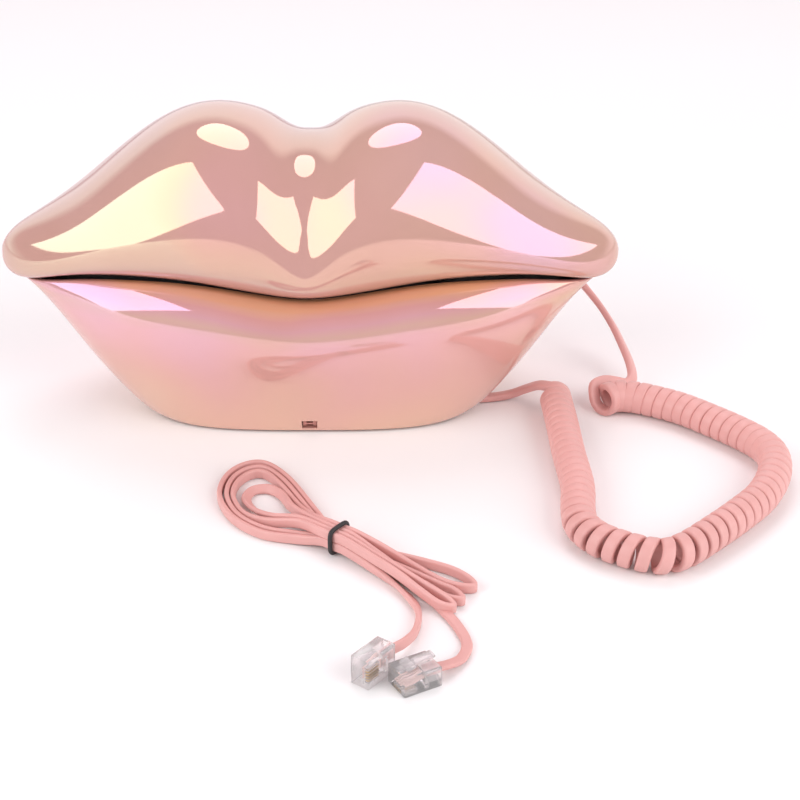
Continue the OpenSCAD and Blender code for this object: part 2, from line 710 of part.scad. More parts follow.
handset_cord_tail_low();
line_cord_hank();
line_cord_tail_a();
line_cord_tail_b();
line_cord_tie();
line_plug_a();
line_plug_b();
line_plug_contacts();
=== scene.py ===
# Looks of the lips-shaped telephone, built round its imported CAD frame. Metres, +Z up.
import math

import bmesh
import bpy
import numpy as np
from mathutils import Matrix, Vector


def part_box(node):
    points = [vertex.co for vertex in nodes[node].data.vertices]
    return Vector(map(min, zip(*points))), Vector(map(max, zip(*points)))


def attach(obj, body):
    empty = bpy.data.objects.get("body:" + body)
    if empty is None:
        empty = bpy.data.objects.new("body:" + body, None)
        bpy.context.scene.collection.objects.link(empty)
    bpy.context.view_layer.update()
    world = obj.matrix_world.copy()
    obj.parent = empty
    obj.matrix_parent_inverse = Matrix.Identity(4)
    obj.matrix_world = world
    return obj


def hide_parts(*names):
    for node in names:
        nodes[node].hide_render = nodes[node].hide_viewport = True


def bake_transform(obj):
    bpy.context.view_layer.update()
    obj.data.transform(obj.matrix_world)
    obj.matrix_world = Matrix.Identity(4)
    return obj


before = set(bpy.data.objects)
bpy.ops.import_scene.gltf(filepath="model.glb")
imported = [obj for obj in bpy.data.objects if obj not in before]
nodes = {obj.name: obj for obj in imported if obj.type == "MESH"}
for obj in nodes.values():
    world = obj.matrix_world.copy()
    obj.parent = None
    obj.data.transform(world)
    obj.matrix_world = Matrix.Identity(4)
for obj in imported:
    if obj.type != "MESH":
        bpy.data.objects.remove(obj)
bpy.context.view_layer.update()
MM = 0.001
scene = bpy.context.scene

# ---- camera ------------------------------------------------------------------------------

camera = bpy.data.objects.new("camera", bpy.data.cameras.new("camera"))
scene.collection.objects.link(camera)
camera.data.sensor_width = 36
camera.data.lens = 88.9
camera.location = (0.032, -0.648, 0.3394)
aim = Vector((0.032, -0.0097, 0))
camera.rotation_euler = (aim - camera.location).to_track_quat("-Z", "Y").to_euler()
scene.camera = camera
scene.view_settings.view_transform = "Standard"


# ---- meshes ------------------------------------------------------------------------------

def mesh_object(name, points, faces, body=None, smooth=True, material=None):
    """A mesh object from points in metres, riding on a body."""
    mesh = bpy.data.meshes.new(name)
    mesh.from_pydata([tuple(p) for p in points], [], faces)
    mesh.validate()
    obj = bpy.data.objects.new(name, mesh)
    scene.collection.objects.link(obj)
    tidy(obj)
    if smooth:
        mesh.polygons.foreach_set("use_smooth", [True] * len(mesh.polygons))
    if material:
        mesh.materials.append(material)
    if body:
        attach(obj, body)
    return obj


def tidy(obj):
    """Joins points that meet, drops faces without area and turns the normals outwards."""
    work = bmesh.new()
    work.from_mesh(obj.data)
    bmesh.ops.remove_doubles(work, verts=work.verts, dist=1e-6)
    bmesh.ops.dissolve_degenerate(work, edges=work.edges, dist=1e-7)
    bmesh.ops.recalc_face_normals(work, faces=work.faces)
    work.to_mesh(obj.data)
    work.free()


def apply_modifiers(obj):
    graph = bpy.context.evaluated_depsgraph_get()
    mesh = bpy.data.meshes.new_from_object(obj.evaluated_get(graph))
    obj.modifiers.clear()
    obj.data = mesh


BOX_QUADS = [(0, 1, 3, 2), (4, 6, 7, 5), (0, 4, 5, 1), (2, 3, 7, 6), (0, 2, 6, 4), (1, 5, 7, 3)]


def cut(obj, boxes, angle=35):
    """Cuts boxes, given as centre and size in millimetres, out of obj."""
    points, faces = [], []
    for centre, size in boxes:
        start = len(points)
        for x in (-0.5, 0.5):
            for y in (-0.5, 0.5):
                for z in (-0.5, 0.5):
                    offset = np.array([x, y, z]) * size
                    points.append((np.array(centre) + offset) * MM)
        faces += [[start + i for i in quad] for quad in BOX_QUADS]
    cutter = mesh_object("cutter", points, faces, smooth=False)
    change = obj.modifiers.new("cut", "BOOLEAN")
    change.operation = "DIFFERENCE"
    change.solver = "EXACT"
    change.object = cutter
    apply_modifiers(obj)
    bpy.data.objects.remove(cutter)
    sharp_edges(obj, angle)


def sharp_edges(obj, angle=35):
    obj.data.polygons.foreach_set("use_smooth", [True] * len(obj.data.polygons))
    obj.data.set_sharp_from_angle(angle=math.radians(angle))


def ring_faces(rings, around, caps=False):
    """Quads between rings of points that are laid out one after the other."""
    faces = []
    for i in range(rings - 1):
        for k in range(around):
            m = (k + 1) % around
            faces.append([i * around + k, (i + 1) * around + k, (i + 1) * around + m, i * around + m])
    if caps:
        faces.append(list(range(around)))
        faces.append([(rings - 1) * around + k for k in reversed(range(around))])
    return faces


# ---- the lips, with the same curves as the CAD model ---------------------------------------

HALF_W = 110
TIP_Z = 55.5
WALL = 2.4
MOUTH_GAP = 1.6
NOTCH_R = 3
CREASE_D = 6
CREASE_W = 26
CREASE_R = 1.2
FOOT_H = 1
LOW_W = 104
LOW_D = 43
CROWN = [38, 48, 52.5, 55.5, 56, 54, 49.5, 43.5, 36.5, 31, 28, 30]
MOUTH = [4.8, 3.2, 1.2, -0.4, -0.6, 0.3, 2.5, 10, 26]
REACH = [44.5, 44, 43, 41.5, 39.5, 37.5, 36, 35, 34]
SECTION_Y = [0.76, 0.94, 1.03, 0.98, 0.74, 0.40, 0.00, -0.40]
SIDE_Y = [0.00, 0.06, 0.00, -0.05, -0.05, -0.02, 0.00, 0.02]
SECTION_Z = [0.00, 0.10, 0.30, 0.58, 0.86, 1.01, 1.04, 1.01]
LOW_X = [0.560, 0.595, 0.648, 0.716, 0.786, 0.852, 0.914, 0.966, 1.000]
LOW_Y = [0.800, 0.806, 0.838, 0.905, 0.968, 0.992, 0.945, 0.862, 0.770]
LOW_Z = [0.000, 0.020, 0.120, 0.300, 0.500, 0.700, 0.860, 0.960, 1.000]


def spline(values, u, even=False):
    """Uniform cubic B-spline, even about its start when even is true."""
    before = values[1] if even else 2 * values[0] - values[1]
    after = [2 * values[-1] - values[-2], 2 * values[-1] - values[-3]]
    c = np.array([before, *values, *after])
    v = np.clip(u, 0, len(values) - 1 - 1e-6)
    i = np.floor(v).astype(int)
    f = v - i
    return ((1 - f) ** 3 * c[i] + (3 * f**3 - 6 * f**2 + 4) * c[i + 1]
            + (1 + 3 * f + 3 * f**2 - 3 * f**3) * c[i + 2] + f**3 * c[i + 3]) / 6


def along_mouth(values, x):
    return spline(values, np.minimum(abs(x), HALF_W) / HALF_W * (len(values) - 1), True)


def shrink(x):
    return np.sqrt(np.maximum(0, 1 - (x / HALF_W) ** 2))


def half_gap(x):
    return 0.2 + (MOUTH_GAP / 2 - 0.2) * shrink(x)


def mouth_z(x):
    return TIP_Z - shrink(x) * along_mouth(MOUTH, x)


def ease(v):
    """Rises smoothly from 0 to 1 as v goes from 0 to 1."""
    w = min(max(v, 0), 1)
    return w * w * (3 - 2 * w)


SECTION_TOP = (SECTION_Z[5] * 2 + SECTION_Z[6] * 4) / 6


def upper_point(a, s, t):
    """A point of the upper lip at station angle a, section parameter s and depth t."""
    x, c = HALF_W * math.sin(a), max(0.0, math.cos(a))
    far = NOTCH_R * (math.sqrt(HALF_W**2 / NOTCH_R**2 + 1) - 1)
    notched = (math.sqrt(x * x + NOTCH_R**2) - NOTCH_R) / far
    fade = ease((s - 0.15) / 0.35) if s <= 1 else 0
    sharp = math.sqrt(x * x + CREASE_R**2) - CREASE_R
    crease = CREASE_D * max(0, 1 - sharp / CREASE_W) ** 2 * fade
    crown = spline(CROWN, np.array(notched * (len(CROWN) - 1)), True)
    low = TIP_Z - c * along_mouth(MOUTH, np.array(x)) + half_gap(x)
    high = TIP_Z + c * (crown - t)
    fold = 2 - s if s > 1 else s
    side = 1 if s > 1 else -1
    lower_bulge = ease((abs(x) - 12) / 45) if s <= 1 else 0
    section = np.array(SECTION_Y) + lower_bulge * np.array(SIDE_Y)
    y = side * spline(list(section), np.array(fold * 6.0))
    z = spline(SECTION_Z, np.array(fold * 6.0)) / SECTION_TOP
    reach = along_mouth(REACH, np.array(x))
    return np.array([(HALF_W - t) * math.sin(a), c * (reach - t - crease) * y, low + (high - low) * z]) * MM


def bend(v, e):
    return math.copysign(abs(v) ** e, v)


def lower_point(a, s, t):
    """A point of the lower lip at turn a, from the bottom edge s = 0 to the rim s = 1."""
    e = 2 / (3.3 - 1.3 * s)
    cx, sy = bend(math.cos(a), e), bend(math.sin(a), e)
    rim_x = LOW_W * LOW_X[-1] * cx
    rim_z = mouth_z(rim_x) - half_gap(rim_x)
    u = np.array(s * (len(LOW_X) - 1))
    return np.array([(LOW_W * spline(LOW_X, u) - t) * cx, (LOW_D * spline(LOW_Y, u) - t) * sy,
                     FOOT_H + (rim_z - FOOT_H) * spline(LOW_Z, u)]) * MM


def rounded_rim(radius, rise):
    """Parameter and depth of the points that round a rim's outer edge, outermost first."""
    quarter = [i / 5 * math.pi / 2 for i in range(1, 6)]
    return [(rise * (1 - math.sin(q)), radius * (1 - math.cos(q))) for q in quarter]


def upper_shell():
    """Points and faces of the upper lip, open below, with rounded rims."""
    stations, steps = 300, 72
    rise = 0.028
    edge = rounded_rim(0.7, rise)
    front = edge[::-1]
    outer = [(rise + (2 - 2 * rise) * j / steps, 0) for j in range(steps + 1)]
    back = [(2 - s, t) for s, t in edge]
    inner = [(2 * (1 - j / (steps // 2)), WALL) for j in range(steps // 2 + 1)]
    loop = front + outer + back + inner
    points = []
    for i in range(stations + 1):
        a = math.pi * (i / stations - 0.5)
        points += [upper_point(a, s, t) for s, t in loop]
    return points, ring_faces(stations + 1, len(loop))


def lower_shell():
    """Points and faces of the lower lip, open above and below, with rounded rims."""
    turns, rings, inner_rings = 288, 56, 24
    bottom_rise, top_rise = 0.012, 0.03
    bottom, top = rounded_rim(0.5, bottom_rise), rounded_rim(0.9, top_rise)
    wall_run = 1 - bottom_rise - top_rise
    outer = [(bottom_rise + wall_run * j / rings, 0) for j in range(rings + 1)]
    profile = bottom[::-1] + outer + [(1 - s, t) for s, t in top]
    profile += [(1 - j / inner_rings, WALL) for j in range(inner_rings + 1)]
    points = []
    for k in range(turns):
        a = 2 * math.pi * k / turns
        points += [lower_point(a, s, t) for s, t in profile]
    around = len(profile)
    faces = ring_faces(turns, around)
    for k in range(around):
        m = (k + 1) % around
        faces.append([(turns - 1) * around + k, k, m, (turns - 1) * around + m])
    return points, faces


# ---- materials -----------------------------------------------------------------------------

def material(name, color, roughness=0.4, **sockets):
    """A material whose Principled shader has these values on its own sockets."""
    made = bpy.data.materials.new(name)
    made.use_nodes = True
    shader = made.node_tree.nodes["Principled BSDF"]
    shader.inputs["Base Color"].default_value = (*color, 1)
    shader.inputs["Roughness"].default_value = roughness
    for key, value in sockets.items():
        shader.inputs[key.replace("_", " ")].default_value = value
    return made


def node(made, kind, **values):
    new = made.node_tree.nodes.new(kind)
    for key, value in values.items():
        if key in new.inputs:
            new.inputs[key].default_value = value
        else:
            setattr(new, key, value)
    return new


def link(made, a, b):
    made.node_tree.links.new(a, b)


def noise(made, scale, detail=3.0):
    """Noise over the object's own coordinates, with scale cells to the metre."""
    place = node(made, "ShaderNodeTexCoord")
    grain = node(made, "ShaderNodeTexNoise", Scale=scale, Detail=detail)
    link(made, place.outputs["Object"], grain.inputs["Vector"])
    return grain.outputs["Fac"]


def mapped(made, value, low, high, start=0.3, end=0.7):
    """value from start..end spread over low..high."""
    spread = node(made, "ShaderNodeMapRange")
    for key, number in (("From Min", start), ("From Max", end), ("To Min", low), ("To Max", high)):
        spread.inputs[key].default_value = number
    link(made, value, spread.inputs["Value"])
    return spread.outputs["Result"]


def tinted(made, value, colors):
    """Colours along value, as a smooth ramp."""
    ramp = node(made, "ShaderNodeValToRGB")
    elements = ramp.color_ramp.elements
    while len(elements) < len(colors):
        elements.new(0.5)
    for i, (place, color) in enumerate(colors):
        elements[i].position = place
        elements[i].color = (*color, 1)
    link(made, value, ramp.inputs["Fac"])
    return ramp.outputs["Color"]


def drive(made, socket, output):
    link(made, output, made.node_tree.nodes["Principled BSDF"].inputs[socket])


def bump(made, value, distance, strength):
    raised = node(made, "ShaderNodeBump", Distance=distance, Strength=strength)
    link(made, value, raised.inputs["Height"])
    drive(made, "Normal", raised.outputs["Normal"])


def position(made, x, z):
    """x and z of the object's own coordinates, weighted and summed."""
    place = node(made, "ShaderNodeTexCoord")
    dot = node(made, "ShaderNodeVectorMath", operation="DOT_PRODUCT")
    dot.inputs[1].default_value = (x, 0, z)
    link(made, place.outputs["Object"], dot.inputs[0])
    return dot.outputs["Value"]


def math_node(made, operation, *values):
    """The result of a math node on numbers or other nodes' outputs."""
    result = node(made, "ShaderNodeMath", operation=operation)
    for socket, value in zip(result.inputs, values):
        if isinstance(value, (int, float)):
            socket.default_value = value
        else:
            link(made, value, socket)
    return result.outputs["Value"]


def pearl(name, tints, along, film, film_along):
    """Glossy plastic under a pearl film.

    tints are spread by along; film gives two thicknesses in nanometres and the drift at each.
    """
    made = material(name, tints[0][1], 0.05, IOR=2.0, Thin_Film_IOR=2.35,
                    Coat_Weight=0.4, Coat_Roughness=0.02, Coat_IOR=1.5)
    wander = math_node(made, "MULTIPLY", math_node(made, "SUBTRACT", noise(made, 22, 1.0), 0.5), 0.5)
    drive(made, "Base Color", tinted(made, math_node(made, "ADD", along(made), wander), tints))
    drift = math_node(made, "ADD", position(made, *film_along), math_node(made, "MULTIPLY", wander, 3))
    drive(made, "Thin Film Thickness", mapped(made, drift, *film))
    drive(made, "Roughness", mapped(made, noise(made, 2200, 2.0), 0.03, 0.07))
    bump(made, noise(made, 60, 2.0), 0.0002, 0.02)
    return made


def across(made):
    """0 at the left tip to 1 at the right tip."""
    return mapped(made, position(made, 1, 0), 0, 1, -HALF_W * MM, HALF_W * MM)


def below_mouth(made):
    """0 on the mouth line to 1 at 18 mm below it."""
    off_middle = math_node(made, "ABSOLUTE", position(made, 1, 0))
    mouth_height = mapped(made, off_middle, 0.0499, 0.056, 0.005, 0.05)
    depth = math_node(made, "SUBTRACT", mouth_height, position(made, 0, 1))
    return math_node(made, "MULTIPLY", depth, 1 / 0.018)


def plastic(name, dark, light, roughness, grain=900, depth=0.00004, **sockets):
    """Moulded plastic or rubber with a fine grain and a slight change of tone."""
    made = material(name, dark, roughness, **sockets)
    tone = noise(made, 35, 4.0)
    drive(made, "Base Color", tinted(made, tone, [(0.3, dark), (0.7, light)]))
    fine = noise(made, grain, 3.0)
    drive(made, "Roughness", mapped(made, fine, max(0.02, roughness - 0.06), roughness + 0.08))
    bump(made, fine, depth, 0.4)
    return made


def metal(name, dark, light, roughness):
    return plastic(name, dark, light, roughness, 1400, 0.00001, Metallic=1.0)


def clear():
    made = material("clear_plastic", (1.0, 0.965, 0.97), 0.1, Transmission_Weight=0.76, IOR=1.4)
    drive(made, "Roughness", mapped(made, noise(made, 500, 3.0), 0.06, 0.16))
    bump(made, noise(made, 260, 2.0), 0.0001, 0.15)
    return made


handset_pearl = pearl("handset_pearl", [(0.1, (0.55, 0.27, 0.24)), (0.45, (0.60, 0.325, 0.31)),
                                        (0.62, (0.59, 0.35, 0.28)), (0.9, (0.55, 0.33, 0.25))],
                      across, (182, 240, -0.1, 1.0), (7, 4))
# The base's colour just below the mouth line is partly painted reflection. The orange band at the mouth
# stands for the upper lip's pink mirrored in it, and the mauve and greenish bands under it stand for the
# surroundings mirrored there. About 14 mm down it fades into the base's own peach pink.
base_pearl_with_painted_reflection = pearl("base_pearl_with_painted_reflection", [(0.04, (0.70, 0.36, 0.20)), (0.20, (0.62, 0.30, 0.26)),
                                  (0.38, (0.62, 0.33, 0.33)), (0.56, (0.62, 0.39, 0.30)),
                                  (0.80, (0.66, 0.38, 0.34))],
                   below_mouth, (186, 236, -0.4, 0.9), (-3, 12))
under_pink = plastic("under_pink", (0.62, 0.30, 0.26), (0.68, 0.34, 0.30), 0.35)
cord_pink = plastic("cord_pink", (0.70, 0.36, 0.335), (0.76, 0.40, 0.375), 0.42, 1500, 0.00003)
wire_pink = plastic("wire_pink", (0.80, 0.52, 0.48), (0.86, 0.60, 0.56), 0.35, 1500, 0.00002)
# This black is the real colour of the jacks, switches, knobs and ringer. On base_deck and
# handset_underplate it is painted shade, standing for the shadow in the gap between the lips.
black_and_painted_gap_shade = plastic("black_plastic", (0.012, 0.011, 0.011), (0.02, 0.019, 0.019), 0.38)
white = plastic("white_plastic", (0.80, 0.77, 0.72), (0.86, 0.83, 0.78), 0.25)
ink = plastic("ink", (0.02, 0.02, 0.025), (0.04, 0.04, 0.045), 0.5)
rubber = plastic("dark_rubber", (0.02, 0.02, 0.02), (0.035, 0.034, 0.034), 0.75, 1200, 0.00005)
elastic = plastic("black_elastic", (0.010, 0.009, 0.010), (0.03, 0.027, 0.029), 0.6, 2600, 0.00012)
steel = metal("steel", (0.50, 0.50, 0.52), (0.60, 0.60, 0.62), 0.28)
gold = metal("gold", (0.80, 0.56, 0.22), (0.90, 0.66, 0.30), 0.2)
board = plastic("green_board", (0.015, 0.10, 0.035), (0.025, 0.14, 0.05), 0.35)
paper = plastic("paper_cone", (0.30, 0.25, 0.17), (0.38, 0.32, 0.22), 0.85, 1700, 0.00006)
clear_plastic = clear()

# ---- lips ----------------------------------------------------------------------------------

handset_skin = mesh_object("handset_skin", *upper_shell(), body="handset", material=handset_pearl)
cut(handset_skin, [((68, 28, 65), (9, 10, 8.6))])
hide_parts("handset_shell")

base_skin = mesh_object("base_skin", *lower_shell(), body="base", material=base_pearl_with_painted_reflection)
cut(base_skin, [((-20, 36, 20), (11, 14, 10.6)), ((4, 36, 17), (6.4, 14, 3.4)),
                ((20, 36, 17), (6.4, 14, 3.4)), ((0, -32, 3.6), (5.4, 10, 3.4)),
                ((62, -10.5, 2.4), (24, 6.4, 4.4))])
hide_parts("base_shell")

# ---- cords ---------------------------------------------------------------------------------

def run_along(p):
    """The distance from the first point of p to each of its points."""
    return np.concatenate([[0], np.cumsum(np.linalg.norm(np.diff(p, axis=0), axis=1))])


def through(points, step):
    """Points a step apart on a centripetal Catmull-Rom curve through the given ones."""
    p = np.array(points, float)
    p = np.vstack([2 * p[0] - p[1], p, 2 * p[-1] - p[-2]])
    out = []
    for i in range(1, len(p) - 2):
        a, b, c, d = p[i - 1:i + 3]
        n = max(2, int(np.linalg.norm((c - b)[:3]) / step))
        t = (np.arange(n) / n)[:, None]
        out.append((2 * b + (c - a) * t + (2 * a - 5 * b + 4 * c - d) * t**2
                    + (3 * b - a - 3 * c + d) * t**3) / 2)
    return np.vstack([*out, p[-2][None]])


def unit(v):
    v = np.asarray(v, float)
    return v / np.linalg.norm(v, axis=-1, keepdims=True)


def tangents(p):
    return unit(np.gradient(p, axis=0))


def square_to(w, t):
    """The part of w that is square to t, as a unit vector."""
    return unit(w - np.sum(w * t, axis=-1, keepdims=True) * t)


def carried(p, first, last):
    """Width directions along p that turn as little as they can from first to last."""
    t = tangents(p)
    w = [square_to(np.array(first, float), t[0])]
    for i in range(1, len(p)):
        w.append(square_to(w[-1], t[i]))
    w = np.array(w)
    goal = square_to(np.array(last, float), t[-1])
    turn = math.atan2(np.dot(np.cross(w[-1], goal), t[-1]), np.dot(w[-1], goal))
    gone = run_along(p)
    angle = (turn * gone / gone[-1])[:, None]
    return w * np.cos(angle) + np.cross(t, w) * np.sin(angle)


def strip_section(width, thick, corner, count=4):
    """Outline of a flat cord: a rectangle with round corners."""
    outline = []
    for sx, sy, start in ((1, 1, 0), (-1, 1, 90), (-1, -1, 180), (1, -1, 270)):
        for k in range(count + 1):
            a = math.radians(start + 90 * k / count)
            outline.append((sx * (width / 2 - corner) + corner * math.cos(a),
                            sy * (thick / 2 - corner) + corner * math.sin(a)))
    return outline


def strip(name, p, w, width, thick, corner, look):
    """A flat cord swept along p, in millimetres, with its width along w."""
    t = tangents(p)
    w = square_to(w, t)
    n = np.cross(t, w)
    outline = strip_section(width, thick, corner)
    rings = [p + w * x + n * y for x, y in outline]
    points = np.stack(rings, axis=1).reshape(-1, 3) * MM
    return mesh_object(name, points, ring_faces(len(p), len(outline), caps=True), material=look)


COIL_R = 4.55
CORD_W = 4.2
CORD_T = 2.4
TURN_PITCH = 4.32
# The turns open up by this much at this distance along the coil, over about this run.
OPEN_BY = 1.2
OPEN_AT = 122
OPEN_RUN = 30
COIL_AXIS = [(88, -18), (89, -38), (89.8, -60), (91, -81), (90, -97), (90.5, -106.5),
             (95, -114.5), (102, -120), (109, -123.5), (115.5, -124.5), (122.5, -120.5),
             (132, -111), (142, -100), (151, -88.5), (157.3, -75), (159.3, -63), (157, -54),
             (151, -45.5), (142, -36), (132, -26.8), (121.5, -20.5), (114, -17.8),
             (108.8, -18.2), (105.2, -21)]


def helix(start_turn, end_turn, steps=36):
    """The coil's strip: its line and its width directions, from the base's end."""
    axis = through([(x, y, COIL_R + CORD_T / 2) for x, y in COIL_AXIS], 0.5)
    t = tangents(axis)
    gone = run_along(axis)
    opened = OPEN_BY * np.exp(-((gone[1:] - OPEN_AT) / OPEN_RUN) ** 2)
    turns = np.concatenate([[0], np.cumsum(np.diff(gone) / (TURN_PITCH + opened))])
    count = math.floor(turns[-1]) + end_turn
    turns *= (count - start_turn) / turns[-1]
    u = np.linspace(0, count - start_turn, int((count - start_turn) * steps))
    at = np.stack([np.interp(u, turns, axis[:, k]) for k in range(3)], axis=1)
    ahead = unit(np.stack([np.interp(u, turns, t[:, k]) for k in range(3)], axis=1))
    side = np.cross([0, 0, 1], ahead)
    angle = (2 * math.pi * (u + start_turn))[:, None]
    return at + COIL_R * (np.cos(angle) * [0, 0, 1] + np.sin(angle) * side), ahead


def handset_cord():
    """The whole cord's line and width directions, from the base's jack to the handset's."""
    coil, coil_w = helix(-0.06, 0.72)
    low = through([(34, -14, 7.6), (40, -14, 7.6), (44, -14, 6.8), (50, -13, 3.2), (56, -11.6, 1.7),
                   (62, -10.8, 1.5), (67.5, -9.8, 1.5), (73, -9.2, 2.4), (78, -11, 5.4),
                   (82.2, -14.5, 8.6), tuple(coil[0])], 0.8)[:-1]
    up = through([tuple(coil[-1]), (102.4, -14.4, 8.3), (106.2, -10.8, 8.4), (110.8, -8.7, 6.8),
                  (114.8, -7.6, 5.6), (117.2, -4, 6.4), (116.8, 2, 9), (114.5, 10, 12.8),
                  (111.5, 18.5, 16.8), (107.5, 26.5, 20.8), (102.4, 33.5, 25.2),
                  (96.5, 37.5, 31), (90, 40, 38.5), (83, 41.2, 47.8), (76, 41, 56.5),
                  (70.5, 38.5, 62.5), (68.2, 34.5, 64.8), (68, 31, 65), (68, 22, 65)], 0.8)[1:]
    low_w = carried(low, (0, 1, 0), -coil_w[0])
    up_w = carried(up, coil_w[-1], (1, 0, 0))
    return np.vstack([low, coil, up]), np.vstack([-low_w, coil_w, up_w])


line, width_way = handset_cord()
curly = strip("handset_cord", line, width_way, CORD_W - 0.05, CORD_T, 0.85, cord_pink)
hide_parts("handset_cord_coil", "handset_cord_tail_up", "handset_cord_tail_low")
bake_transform(curly)

# The line cord: one strip from plug to plug, tied in a hank of four loops and three folds.
LINE_W = 3.4
LINE_T = 1.7
TIE = np.array([12.5, -112.5])
TIE_ALONG = np.array([0.8, -0.6])
TIE_ACROSS = np.array([0.6, 0.8])
LOW, HIGH = 3.25, 6.7
# Places of the passes across the tie, from its middle.
OUTER, INNER = 2.775, 0.925


def waist(places):
    """Points given from the tie as length along, way across, height and roll."""
    out = []
    for along, across, z, roll in places:
        x, y = TIE + along * TIE_ALONG + across * TIE_ACROSS
        out.append((x, y, z, roll))
    return out


def slot(across, z, leftwards):
    """The stretch of one pass through the tie."""
    way = [(5, across, z, 0), (0, across, z, 0), (-5, across, z, 0)]
    return waist(way if leftwards else way[::-1])


def on_edge(places, z=1.8):
    """Points of a loop; a third and fourth number give height and roll."""
    return [(*place, *(z, 0)[len(place) - 2:]) for place in places]


TAIL_A = [(26.2, -177.9, 4.8, 0), (28.1, -175.5, 4.8, 0), (30.0, -173.0, 4.6, 0),
          (33.4, -168.2, 3.5, 0), (36.4, -161.0, 2.1, 0), (37.6, -152.5, 1.8, 10),
          (36.2, -144.5, 1.4, 55), (31.6, -136.2, 1.6, 40), (24.0, -126.6, 2.1, 5)]
TAIL_B = [(27, -3.0, 1.9, 10), (36, -4.8, 1.3, 70), (44, -7.2, 0.95, 90)]
TAIL_B_END = [(49, -155.5, 0.95, 90), (51.8, -165.4, 0.95, 90), (50.0, -173.2, 1.4, 90),
              (46.0, -178.0, 2.6, 90), (42.2, -180.4, 3.3, 90), (38.8, -182.4, 3.3, 90)]
FOLD_UPPER = [(15, 4.8, 2.3, 0), (27, 8.2, 1.8, 0), (37, 9.8, 1.8, 0), (44.5, 8.8, 1.8, 0),
              (48.4, 6.3, 1.8, 0), (44.8, 3.7, 1.8, 0), (38, 2.7, 1.8, 0), (27, 3.7, 2.4, 0),
              (15, 3.3, 5.0, 0)]
FOLD_MIDDLE = [(15, -0.3, 5.0, 0), (27, -1.1, 2.4, 0), (37, -2.2, 1.8, 0), (45.2, -3.6, 1.8, 0),
               (49.6, -1.7, 1.8, 0), (45, 0.6, 1.8, 0), (38, 0.7, 1.8, 0), (27, 1.2, 1.8, 0),
               (15, 1.1, 2.1, 0)]
FOLD_LOWER = [(15, -4.2, 6.2, 0), (28, -6.3, 5.4, 0), (38, -8.1, 3.9, 0), (46.2, -9.2, 2.8, 0),
              (50.2, -7.2, 2.3, 0), (46, -5.3, 2.8, 0), (38, -4.7, 3.8, 0), (27, -3.9, 5.2, 0),
              (15, -2.3, 5.9, 0)]
LOOP_0 = on_edge([(-1, -109, 2.2), (-12.5, -105.3), (-22.5, -96), (-28, -82.5), (-27, -70),
                  (-21.5, -61.8), (-14, -60.8), (-5.5, -71), (3.5, -90), (7.6, -100, 2.3)])
LOOP_1 = on_edge([(-1, -106.7, 2.2), (-12.3, -102.6), (-21.1, -94.4), (-25.6, -82.7),
                  (-24.8, -71.8), (-20.2, -64.9), (-14, -64), (-6.9, -72.8), (1.1, -89.4),
                  (5.6, -100, 2.3)])
LOOP_2 = on_edge([(-0.6, -104.8, 5.6), (-11.7, -100.1, 3.2), (-19.5, -93), (-23.5, -82.9),
                  (-22.9, -73.8), (-19, -67.5), (-14, -66.9), (-8.4, -74.5),
                  (-1.1, -89.5, 2.2), (3.6, -100.6, 5.4)])
LOOP_3 = [(-0.4, -103, 5.9, 0), (-9.3, -97.9, 3.6, 15), (-15.2, -91.5, 2.1, 40),
          (-19.1, -83.5, 1.6, 60), (-17.3, -77.3, 1.4, 62), (-12.2, -76.4, 1.6, 50),
          (-7.6, -80.8, 1.9, 30), (-3.6, -91, 3.2, 10), (1.7, -101, 5.7, 0)]


def line_cord_route():
    """The strip from plug to plug: points with their roll, loop by loop and fold by fold."""
    first = TAIL_A + slot(-OUTER, LOW, True) + LOOP_0 + slot(OUTER, LOW, False)
    first += waist(FOLD_UPPER) + slot(OUTER, HIGH, True) + LOOP_2[::-1]
    second = slot(-OUTER, HIGH, False) + waist(FOLD_LOWER) + slot(-INNER, HIGH, True) + LOOP_3
    second += slot(INNER, HIGH, False) + waist(FOLD_MIDDLE) + slot(INNER, LOW, True)
    last = LOOP_1[::-1] + slot(-INNER, LOW, False) + waist(TAIL_B) + TAIL_B_END
    return through(first + second + last, 0.8)


def rolled(p, roll):
    """Width directions: upright at roll 0, level at roll 90 degrees."""
    t = tangents(p)
    level = unit(np.cross([0, 0, 1], t))
    a = np.radians(roll)[:, None]
    return square_to(np.cos(a) * np.cross(t, level) + np.sin(a) * level, t)


route = line_cord_route()
line_cord = strip("line_cord", route[:, :3], rolled(route[:, :3], route[:, 3]), LINE_W, LINE_T,
                  0.7, cord_pink)
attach(line_cord, "base")
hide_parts("line_cord_hank", "line_cord_tail_a", "line_cord_tail_b")


def ring(name, path, radius, look, sides=14):
    """A round ring along a closed path in millimetres."""
    p = np.array(path, float)
    t = unit(np.roll(p, -1, axis=0) - np.roll(p, 1, axis=0))
    flat = unit(np.cross(np.cross(p[len(p) // 4] - p[0], p[len(p) // 2] - p[0]), t))
    up = np.cross(t, flat)
    points = []
    for k in range(len(p)):
        for j in range(sides):
            a = 2 * math.pi * j / sides
            points.append((p[k] + radius * (math.cos(a) * flat[k] + math.sin(a) * up[k])) * MM)
    faces = []
    for k in range(len(p)):
        m = (k + 1) % len(p)
        for j in range(sides):
            i = (j + 1) % sides
            faces.append([k * sides + j, m * sides + j, m * sides + i, k * sides + i])
    return mesh_object(name, points, faces, material=look)


tie_path = []
tie_steps = 72
for k in range(tie_steps):
    a = 2 * math.pi * k / tie_steps
    side, rise = 4.5 * bend(math.cos(a), 0.45), 4.2 * bend(math.sin(a), 0.45)
    x, y = TIE + side * TIE_ACROSS
    tie_path.append((x, y, (LOW + HIGH) / 2 + rise))
tie = ring("line_cord_band", tie_path, 0.75, elastic)
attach(tie, "base")
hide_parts("line_cord_tie")


